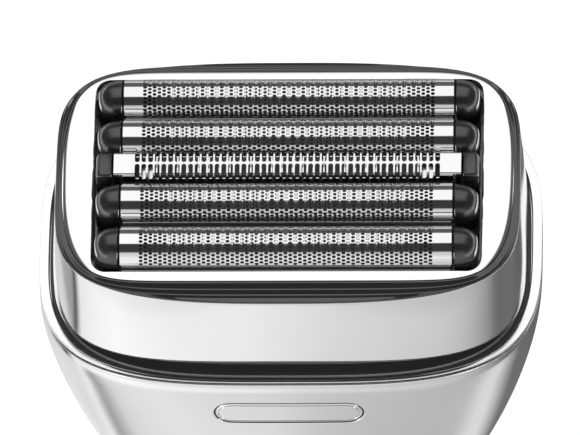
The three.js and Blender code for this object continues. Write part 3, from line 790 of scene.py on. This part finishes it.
class Sheet:
    """A flat pattern of welded faces, later bent and given a thickness."""

    def __init__(self):
        self.points = []
        self.faces = []
        self.known = {}

    def point(self, x, s):
        key = (round(x * 2000), round(s * 2000))
        if key not in self.known:
            self.known[key] = len(self.points)
            self.points.append((x, s))
        return self.known[key]

    def face(self, corners):
        self.faces.append(tuple(self.point(x, s) for x, s in corners))

    def ring(self, outer, inner):
        """Quads between two loops with the same number of points."""
        count = len(outer)
        for i in range(count):
            j = (i + 1) % count
            self.face([outer[i], outer[j], inner[j], inner[i]])

    def solid(self, bend, thickness):
        """Both faces of the bent sheet and the walls along every open edge."""
        flat = np.array(self.points)
        outer = bend(flat[:, 0], flat[:, 1], 0.0)
        inner = bend(flat[:, 0], flat[:, 1], thickness)
        count = len(flat)
        faces = list(self.faces)
        faces += [tuple(i + count for i in reversed(face)) for face in self.faces]
        edges = {}
        for face in self.faces:
            for a, b in zip(face, face[1:] + face[:1]):
                edges[(a, b)] = True
        for a, b in edges:
            if (b, a) not in edges:
                faces.append((b, a, a + count, b + count))
        return np.concatenate([outer, inner]), faces


def hole_cell(sheet, x, s):
    """One cell of the lattice with a rounded six-sided hole."""
    hx, hs = HOLE_PITCH_X / 2, HOLE_PITCH_S / 2
    outer = [
        (x - hx, s - hs), (x - hx / 3, s - hs), (x + hx / 3, s - hs), (x + hx, s - hs),
        (x + hx, s), (x + hx, s + hs),
        (x + hx / 3, s + hs), (x - hx / 3, s + hs), (x - hx, s + hs), (x - hx, s),
    ]
    a, b = HOLE_HALF_X, HOLE_HALF_S
    inner = [
        (x - 0.83 * a, s - 0.62 * b), (x - 0.4 * a, s - b), (x + 0.4 * a, s - b), (x + 0.83 * a, s - 0.62 * b),
        (x + a, s), (x + 0.83 * a, s + 0.62 * b),
        (x + 0.4 * a, s + b), (x - 0.4 * a, s + b), (x - 0.83 * a, s + 0.62 * b), (x - a, s),
    ]
    sheet.ring(outer, inner)


def plain_cell(sheet, x, s0, s1, step):
    """A strip of one column without holes, from s0 to s1."""
    hx = HOLE_PITCH_X / 2
    for k in range(round((s1 - s0) / step)):
        low, high = s0 + k * step, s0 + (k + 1) * step
        sheet.face([
            (x - hx, low), (x - hx / 3, low), (x + hx / 3, low), (x + hx, low),
            (x + hx, high), (x + hx / 3, high), (x - hx / 3, high), (x - hx, high),
        ])


def arch_bend(x, s, depth):
    """Bends a flat sheet over the arch; beyond a quarter turn it runs straight down."""
    quarter = FOIL_R * math.pi / 2
    turn = np.clip(s, -quarter, quarter) / FOIL_R
    leg = np.maximum(np.abs(s) - quarter, 0)
    radius = FOIL_R - depth
    return np.stack([x, radius * np.sin(turn), FOIL_Z + radius * np.cos(turn) - leg], axis=1)


def add_lattice(sheet):
    """The perforated part of a foil; gives how far it reaches from the top line."""
    half_step = HOLE_PITCH_S / 2
    reach = HOLE_ROWS * HOLE_PITCH_S / 2
    for column in range(HOLE_COLUMNS):
        x = (column - (HOLE_COLUMNS - 1) / 2) * HOLE_PITCH_X
        shift = half_step / 2 if column % 2 else -half_step / 2
        for row in range(HOLE_ROWS):
            hole_cell(sheet, x, (row - (HOLE_ROWS - 1) / 2) * HOLE_PITCH_S + shift)
        plain_cell(sheet, x, -reach - half_step * 1.5, -reach + shift, half_step)
        plain_cell(sheet, x, reach + shift, reach + half_step * 1.5, half_step)
    return reach + half_step * 1.5


def foil_sheet():
    sheet = Sheet()
    top = add_lattice(sheet)
    half_step = HOLE_PITCH_S / 2
    leg_steps = 5
    flank = FOIL_R * math.pi / 2 + FOIL_Z - FOIL_BOTTOM_Z
    edges = [(i - HOLE_COLUMNS / 2) * HOLE_PITCH_X for i in range(HOLE_COLUMNS + 1)]
    # Plain flanks below the lattice.
    for sign in (-1, 1):
        stations = [sign * (top + (flank - top) * k / leg_steps) for k in range(leg_steps + 1)]
        for low, high in zip(stations, stations[1:]):
            if sign < 0:
                low, high = high, low
            for x0, x1 in zip(edges, edges[1:]):
                third = (x1 - x0) / 3
                bottom = [(x0 + third * k, low) for k in range(4)]
                upper = [(x0 + third * k, high) for k in (3, 2, 1, 0)]
                sheet.face(bottom + upper)
    # Plain ends.
    middle = [-top + half_step * k for k in range(round(2 * top / half_step) + 1)]
    legs = [top + (flank - top) * k / leg_steps for k in range(1, leg_steps + 1)]
    stations = [-s for s in reversed(legs)] + middle + legs
    for x0, x1 in ((-FOIL_HALF, edges[0]), (edges[-1], FOIL_HALF)):
        xs = between(x0, x1, 4)
        for low, high in zip(stations, stations[1:]):
            for a, b in zip(xs, xs[1:]):
                sheet.face([(a, low), (b, low), (b, high), (a, high)])
    return sheet


def in_row(points, row):
    """Moves points to one of the five rows, counted from the back."""
    return np.array(points) + np.array([0, ROW_YS[row - 1], 0])


foil_points, foil_faces = foil_sheet().solid(arch_bend, FOIL_T)
for row in (1, 2, 4, 5):
    make_object(
        f"foil_sheet_{row}",
        in_row(foil_points, row),
        foil_faces,
        FOIL_STEEL,
        f"element_{row}",
        [f"foil_{row}"],
        flat_angle=50,
    )

# -------------------------------------------------------------------- comb

COMB_TURN = COMB_EDGE_R * math.pi / 2
COMB_FLAT = COMB_HALF_WIDTH - COMB_EDGE_R
SLOT_END = COMB_FLAT + COMB_TURN + SLOT_DROP - COMB_EDGE_R
COMB_LENGTH = COMB_FLAT + COMB_TURN + COMB_TOP_Z - COMB_EDGE_R - COMB_BOTTOM_Z


def comb_bend(x, s, depth):
    """Bends a flat strip into a channel with rounded upper edges."""
    side = np.sign(s)
    run = np.abs(s)
    turn = np.clip(run - COMB_FLAT, 0, COMB_TURN) / COMB_EDGE_R
    leg = np.maximum(run - COMB_FLAT - COMB_TURN, 0)
    radius = COMB_EDGE_R - depth
    y = np.minimum(run, COMB_FLAT) + radius * np.sin(turn)
    z = COMB_TOP_Z - COMB_EDGE_R + radius * np.cos(turn) - leg
    return np.stack([x, side * y, z], axis=1)


def build_comb():
    sheet = Sheet()
    h, w = SLOT_PITCH / 2, SLOT_HALF
    start, end = SPINE_HALF, SLOT_END
    side_s = [start + w, 1.0, 1.35, COMB_FLAT, COMB_FLAT + COMB_TURN / 3, COMB_FLAT + COMB_TURN * 2 / 3]
    side_s += [COMB_FLAT + COMB_TURN, COMB_FLAT + COMB_TURN + 0.3, end - w * 0.6]
    legs = [end, COMB_LENGTH * 0.8, COMB_LENGTH]
    for i in range(SLOT_COUNT):
        x = (i - (SLOT_COUNT - 1) / 2) * SLOT_PITCH
        for sign in (1, -1):

            def place(points):
                return [(x + dx * sign, s * sign) for dx, s in points]

            # Slot outline, anticlockwise seen from outside, with the cell's border beside it.
            inner = [(w * math.cos(t), start + w - w * math.sin(t)) for t in between(math.pi, 0, 9)]
            outer = [(-h, start + w), (-h, start), (-h, 0), (-h / 2, 0), (0, 0)]
            outer += [(h / 2, 0), (h, 0), (h, start), (h, start + w)]
            for s in side_s[1:]:
                inner.append((w, s))
                outer.append((h, s))
            inner += [(w * 0.6, end), (0, end), (-w * 0.6, end)]
            outer += [(h, end), (0, end + 0.25), (-h, end)]
            for s in reversed(side_s[1:]):
                inner.append((-w, s))
                outer.append((-h, s))
            sheet.ring(place(outer), place(inner))
            below = [(-h, end), (0, end + 0.25), (h, end), (h, legs[1]), (-h, legs[1])]
            sheet.face(place(below))
            sheet.face(place([(-h, legs[1]), (h, legs[1]), (h, legs[2]), (-h, legs[2])]))
    edge = SLOT_COUNT / 2 * SLOT_PITCH
    stations = [0, start, *side_s, *legs]
    for x0, x1 in ((-COMB_HALF, -edge), (edge, COMB_HALF)):
        for sign in (1, -1):
            for low, high in zip(stations, stations[1:]):
                corners = [(x0, low), (x1, low), (x1, high), (x0, high)]
                if sign < 0:
                    corners = [(px, -ps) for px, ps in reversed(corners)]
                sheet.face(corners)
    return sheet


points, faces = build_comb().solid(comb_bend, COMB_T)
make_object("comb_sheet", points, faces, FOIL_STEEL, "element_3", ["slit_comb"], 50)

# ----------------------------------------------------------------- cutters


def prism(section, x0, x1):
    """Points and faces of a closed section, given as y, z, drawn out along X."""
    count = len(section)
    points = [(x, y, z) for x in (x0, x1) for y, z in section]
    faces = grid_faces(2, count, False, True)
    faces += [tuple(reversed(range(count))), tuple(range(count, 2 * count))]
    return points, faces


def merged(parts):
    points, faces = [], []
    for part_points, part_faces in parts:
        start = len(points)
        points += [tuple(p) for p in part_points]
        faces += [tuple(i + start for i in face) for face in part_faces]
    return points, faces


def block(x0, x1, y0, y1, z0, z1):
    return prism([(y0, z0), (y1, z0), (y1, z1), (y0, z1)], x0, x1)


def arc(radius, centre_z, first, last, steps):
    """Points y, z along an arc; angles in degrees from the horizontal."""
    turns = [turn * DEG for turn in between(first, last, steps)]
    return [(radius * math.cos(t), centre_z + radius * math.sin(t)) for t in turns]


def arch_blade_section(radius, inner_radius, centre_z):
    low, high = 90 - BLADE_SPREAD, 90 + BLADE_SPREAD
    outer = arc(CORE_R - 0.1, centre_z, 0, low - 6, 5) + arc(radius, centre_z, low, high, 13)
    outer += arc(CORE_R - 0.1, centre_z, high + 6, 180, 5)
    return outer + arc(inner_radius, centre_z, 180, 0, 18)


def cutter(section, pitch, count, thickness, rails):
    parts = []
    for i in range(count):
        x = (i - (count - 1) / 2) * pitch
        parts.append(prism(section, x - thickness / 2, x + thickness / 2))
    half = count / 2 * pitch
    for y0, y1, z0, z1 in rails:
        parts.append(block(-half, half, y0, y1, z0, z1))
    parts.append(block(*STEM))
    return merged(parts)


round_section = arch_blade_section(BLADE_R, BLADE_BORE_R, FOIL_Z - BLADE_DROP)
round_rails = [(-2.75, -2.1, 60.75, 61.1), (2.1, 2.75, 60.75, 61.1), (-2.1, 2.1, 60.72, 60.98)]
flat_section = [(1.4, 60.9), (1.4, 63.36), (-1.4, 63.36), (-1.4, 60.9)]
flat_rails = [(-1.2, 1.2, 60.72, 61.2)]
for row in range(1, 6):
    if row == 3:
        points, faces = cutter(flat_section, FLAT_BLADE_PITCH, FLAT_BLADE_COUNT, FLAT_BLADE_T, flat_rails)
    else:
        points, faces = cutter(round_section, BLADE_PITCH, BLADE_COUNT, BLADE_T, round_rails)
    body = f"cutter_{row}"
    make_object(f"blade_set_{row}", in_row(points, row), faces, CUTTER_STEEL, body, [body])
    # Dark carrier that shows between the blades.
    if row == 3:
        carrier = [(1.5, 61.25), (1.5, 62.9), (-1.5, 62.9), (-1.5, 61.25)]
    else:
        carrier = arc(CORE_R, FOIL_Z - BLADE_DROP, 6, 174, 19)
    points, faces = prism(carrier, -CARRIER_HALF, CARRIER_HALF)
    make_object(f"carrier_{row}", in_row(points, row), faces, BLACK_MATTE, body, ())

# ---------------------------------------------------------------- end caps


def arch_section(radius, centre_z, bottom_z, steps):
    points = [(radius, bottom_z), (radius, (bottom_z + centre_z) / 2)]
    for t in between(0, math.pi, steps + 1):
        points.append((radius * math.cos(t), centre_z + radius * math.sin(t)))
    points += [(-radius, (bottom_z + centre_z) / 2), (-radius, bottom_z)]
    return points


def cap_skin(section, stations, side):
    """Skin through scaled copies of a section; each station is x, width share, height share."""
    rings = []
    for x, width, height in stations:
        rings.append([(side * x, y * width, CAP_BOTTOM_Z + (z - CAP_BOTTOM_Z) * height) for y, z in section])
    count = len(section)
    points = [p for ring in rings for p in ring]
    faces = grid_faces(len(rings), count, False, True)
    faces += [tuple(reversed(range(count))), tuple((len(rings) - 1) * count + i for i in range(count))]
    if side < 0:
        faces = [tuple(reversed(face)) for face in faces]
    return points, faces


def round_cap_stations():
    stations = [(CAP_START, 0.97, 0.985), (CAP_START + 0.08, 1.0, 1.0)]
    for turn in between(8, 88, 22):
        c = math.cos(turn * DEG) ** 0.6
        x = CAP_START + (CAP_END - CAP_START) * math.sin(turn * DEG)
        stations.append((x, 0.12 + 0.88 * c, 0.5 + 0.5 * c))
    return stations


def flat_cap_section():
    half = COMB_HALF_WIDTH + 0.15
    top = COMB_TOP_Z - 0.15
    points = [(half, CAP_BOTTOM_Z)]
    for t in between(0, 90, 6):
        points.append((half - 0.5 + 0.5 * math.cos(t * DEG), top - 0.5 + 0.5 * math.sin(t * DEG)))
    return points + [(-y, z) for y, z in reversed(points)]


def flat_cap_stations():
    stations = [(COMB_HALF + GAP, 0.97, 0.99), (COMB_HALF + GAP + 0.06, 1.0, 1.0)]
    for turn in between(0, 86, 10):
        x = CAP_END - 0.7 + 0.7 * math.sin(turn * DEG)
        drop = 0.7 * (1 - math.cos(turn * DEG))
        stations.append((x, 1 - drop * 0.25, 1 - drop * 0.2))
    return stations


for row in range(1, 6):
    if row == 3:
        section, stations = flat_cap_section(), flat_cap_stations()
    else:
        section, stations = arch_section(FOIL_R - 0.1, FOIL_Z, CAP_BOTTOM_Z, 28), round_cap_stations()
    for side, label in ((-1, "left"), (1, "right")):
        points, faces = cap_skin(section, stations, side)
        points = in_row(points, row)
        node = f"end_cap_{row}_{label}"
        make_object(f"cap_{row}_{label}", points, faces, BLACK_CAP, f"element_{row}", [node], 40)

# ------------------------------------------- CAD nodes that keep their shape

KEPT = {
    "bottom_cover": BLACK_MATTE,
    "cover_screw_left": PLAIN_STEEL,
    "cover_screw_right": PLAIN_STEEL,
    "foot_ring": RUBBER,
    "usb_socket": PLAIN_STEEL,
    "chassis": GREY_PLASTIC,
    "battery": CELL_WRAP,
    "circuit_board": BOARD,
    "tact_switch": BLACK_MATTE,
    "pivot_pin_left": PLAIN_STEEL,
    "pivot_pin_right": PLAIN_STEEL,
    "head_base": BLACK_MATTE,
    "deck_magnet_left": MAGNET,
    "deck_magnet_right": MAGNET,
    "catch_plate_left": PLAIN_STEEL,
    "catch_plate_right": PLAIN_STEEL,
    "motor_mount": GREY_PLASTIC,
    "stator_core": PLAIN_STEEL,
    "stator_coil": COPPER,
    "mover_rear": GREY_PLASTIC,
    "mover_front": GREY_PLASTIC,
    "mover_magnet_rear": MAGNET,
    "mover_magnet_front": MAGNET,
    "guide_rod_rear": PLAIN_STEEL,
    "guide_rod_front": PLAIN_STEEL,
}
for name, material in KEPT.items():
    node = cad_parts[name]
    node.material_slots[0].material = material
    bevel = node.modifiers.new("edge_round", "BEVEL")
    bevel.width = EDGE_ROUND * MM
    bevel.segments = 2
    bevel.limit_method = "ANGLE"
    bevel.angle_limit = 40 * DEG

# ------------------------------------------------------------------ studio


def look_direction(azimuth, elevation):
    a, e = azimuth * DEG, elevation * DEG
    return Vector((math.sin(a) * math.cos(e), -math.cos(a) * math.cos(e), math.sin(e)))


VIEW_AZIMUTH = 3.1
VIEW_ELEVATION = 52.0
VIEW_ROLL = 2.6
VIEW_DISTANCE = 2500.0
VIEW_WIDTH = 80.556  # millimetres seen across the picture
VIEW_TARGET = Vector((0.02, 0, 51.4))

back = look_direction(VIEW_AZIMUTH, VIEW_ELEVATION)
right = Vector((math.cos(VIEW_AZIMUTH * DEG), math.sin(VIEW_AZIMUTH * DEG), 0))
up = back.cross(right)
turned_right = right * math.cos(VIEW_ROLL * DEG) - up * math.sin(VIEW_ROLL * DEG)
turned_up = right * math.sin(VIEW_ROLL * DEG) + up * math.cos(VIEW_ROLL * DEG)
camera_data = bpy.data.cameras.new("camera")
camera = bpy.data.objects.new("camera", camera_data)
bpy.context.scene.collection.objects.link(camera)
turn = Matrix((turned_right, turned_up, back)).transposed()
camera.matrix_world = Matrix.Translation((VIEW_TARGET + back * VIEW_DISTANCE) * MM) @ turn.to_4x4()
camera_data.sensor_fit = "HORIZONTAL"
camera_data.lens = camera_data.sensor_width * VIEW_DISTANCE / VIEW_WIDTH
camera_data.clip_start = 0.05
camera_data.clip_end = 50
bpy.context.scene.camera = camera

FLOOR_SIZE = 2000.0
FLOOR_GLOW = 0.85
CARD_SIZE = 900.0
CARD_Z = -0.2
CARD_LIGHT = 1.4
NEAR_RADIUS = 63.0
FAR_RADIUS = 69.0
CARD_SQUEEZE = (0.87, 1, 1)
FADE_RADII = (108.0, 122.0)
FADE = 0.88
# What polished sides see low down, round the shaver: bearing (0 in front,
# 90 to the right) and light, near its foot and further out.
NEAR_LIGHT = [
    (-180, 0.2), (-160, 0.5), (-90, 0.9), (-74, 0.9), (-66, 1.05), (-60, 0.48), (-57, 0.52),
    (-50, 0.88), (-42, 0.98), (-30, 1.03), (-5, 0.92), (6, 0.74), (20, 0.68), (40, 0.63),
    (51, 0.66), (60, 0.9), (66, 0.9), (71, 0.68), (77, 0.42), (84, 0.2), (118, 0.14), (180, 0.2),
]
FAR_LIGHT = [
    (-180, 0.4), (-100, 0.5), (-82, 0.45), (-76, 0.1), (-69, 1.1), (-40, 1.29), (-6, 1.14),
    (0, 0.98), (4, 0.91), (12, 0.855), (28, 0.79), (38, 0.7), (47, 0.57), (59, 0.38), (66, 0.24),
    (72, 0.19), (100, 0.19), (180, 0.4),
]


def square(name, half, z, material):
    mesh = bpy.data.meshes.new(name)
    corners = [(-half, -half, z), (half, -half, z), (half, half, z), (-half, half, z)]
    mesh.from_pydata([(x * MM, y * MM, h * MM) for x, y, h in corners], [], [(0, 1, 2, 3)])
    mesh.materials.append(material)
    sheet = bpy.data.objects.new(name, mesh)
    bpy.context.scene.collection.objects.link(sheet)
    return sheet


def angle_ramp(tree, angle, levels, full):
    """Light as a function of an angle in radians; levels are in degrees, and full is the brightest."""
    stops = [((degrees + 180) / 360, light / full) for degrees, light in levels]
    return grey_ramp(tree, step_node(tree, angle, -math.pi, math.pi), stops)


def card_material():
    material = bpy.data.materials.new("low_light_card")
    material.use_nodes = True
    tree = material.node_tree
    tree.nodes.remove(tree.nodes["Principled BSDF"])
    coords = tree.nodes.new("ShaderNodeTexCoord")
    split = tree.nodes.new("ShaderNodeSeparateXYZ")
    tree.links.new(coords.outputs["Object"], split.inputs["Vector"])
    toward_front = math_node(tree, "MULTIPLY", split.outputs["Y"], -1).outputs["Value"]
    bearing = math_node(tree, "ARCTAN2", split.outputs["X"], toward_front).outputs["Value"]
    squeezed = tree.nodes.new("ShaderNodeVectorMath")
    squeezed.operation = "MULTIPLY"
    squeezed.inputs[1].default_value = CARD_SQUEEZE
    tree.links.new(coords.outputs["Object"], squeezed.inputs[0])
    length = tree.nodes.new("ShaderNodeVectorMath")
    length.operation = "LENGTH"
    tree.links.new(squeezed.outputs["Vector"], length.inputs[0])
    far = step_node(tree, length.outputs["Value"], NEAR_RADIUS * MM, FAR_RADIUS * MM)
    near_light = angle_ramp(tree, bearing, NEAR_LIGHT, CARD_LIGHT)
    far_light = angle_ramp(tree, bearing, FAR_LIGHT, CARD_LIGHT)
    colour = mix_colours(tree, far, near_light, far_light)
    first, last = FADE_RADII
    fade = add_node(tree, "ShaderNodeMapRange", From_Min=first * MM, From_Max=last * MM)
    fade.inputs["To Min"].default_value = CARD_LIGHT
    fade.inputs["To Max"].default_value = CARD_LIGHT * FADE
    tree.links.new(length.outputs["Value"], fade.inputs["Value"])
    glow = tree.nodes.new("ShaderNodeEmission")
    tree.links.new(fade.outputs["Result"], glow.inputs["Strength"])
    tree.links.new(colour, glow.inputs["Color"])
    tree.links.new(glow.outputs["Emission"], tree.nodes["Material Output"].inputs["Surface"])
    material.cycles.emission_sampling = "NONE"
    return material


floor_paint = surface("pale_floor", grey(0.58), grey(0.6), 0.0, (0.6, 0.7), bump=0, specular=0.0)
add_glow(floor_paint, FLOOR_GLOW)
floor_paint.cycles.emission_sampling = "NONE"
floor = square("floor", FLOOR_SIZE, 0, floor_paint)
floor.visible_glossy = False
card = square("low_card", CARD_SIZE, CARD_Z, card_material())
for kind in ("camera", "diffuse", "transmission", "volume_scatter", "shadow"):
    setattr(card, f"visible_{kind}", False)

# Long soft boxes run along X: light as a function of the angle round that axis.
# 0 is the horizon behind the shaver, 90 straight up, 180 the horizon in front.
BANDS = [
    (-180, 1.0), (-90, 0.8), (-2, 0.9), (5, 0.8), (9, 0.12), (40, 0.12), (43, 1.15), (99, 1.15),
    (102, 0.045), (143, 0.05), (149, 0.7), (165, 0.8), (174, 1.0), (180, 1.0),
]
TOP_LIGHT = 1.2
SIDE_LIGHT = 0.1
STRIP_LIGHT = 3.0
BOX_END = (0.42, 0.56)  # sideways share of the direction looked in
STRIP_TOP = (0.1, 0.2)  # upward share of that direction


def build_world():
    world = bpy.data.worlds.new("studio")
    bpy.context.scene.world = world
    world.use_nodes = True
    tree = world.node_tree
    coords = tree.nodes.new("ShaderNodeTexCoord")
    split = tree.nodes.new("ShaderNodeSeparateXYZ")
    tree.links.new(coords.outputs["Generated"], split.inputs["Vector"])
    angle = math_node(tree, "ARCTAN2", split.outputs["Z"], split.outputs["Y"]).outputs["Value"]
    boxes = angle_ramp(tree, angle, BANDS, TOP_LIGHT)
    # The boxes end to the left and right; a dim wall follows, and a bright strip low down.
    sideways = math_node(tree, "ABSOLUTE", split.outputs["X"]).outputs["Value"]
    past_end = step_node(tree, sideways, *BOX_END)
    high = step_node(tree, split.outputs["Z"], *STRIP_TOP)
    wall = math_node(tree, "MULTIPLY", past_end, high).outputs["Value"]
    low = math_node(tree, "SUBTRACT", past_end, high)
    low.use_clamp = True
    dimmed = mix_colours(tree, wall, boxes, SIDE_LIGHT / TOP_LIGHT)
    colour = mix_colours(tree, low.outputs["Value"], dimmed, STRIP_LIGHT / TOP_LIGHT)
    background = tree.nodes["Background"]
    background.inputs["Strength"].default_value = TOP_LIGHT
    tree.links.new(colour, background.inputs["Color"])


build_world()
bpy.context.scene.view_settings.view_transform = "Standard"
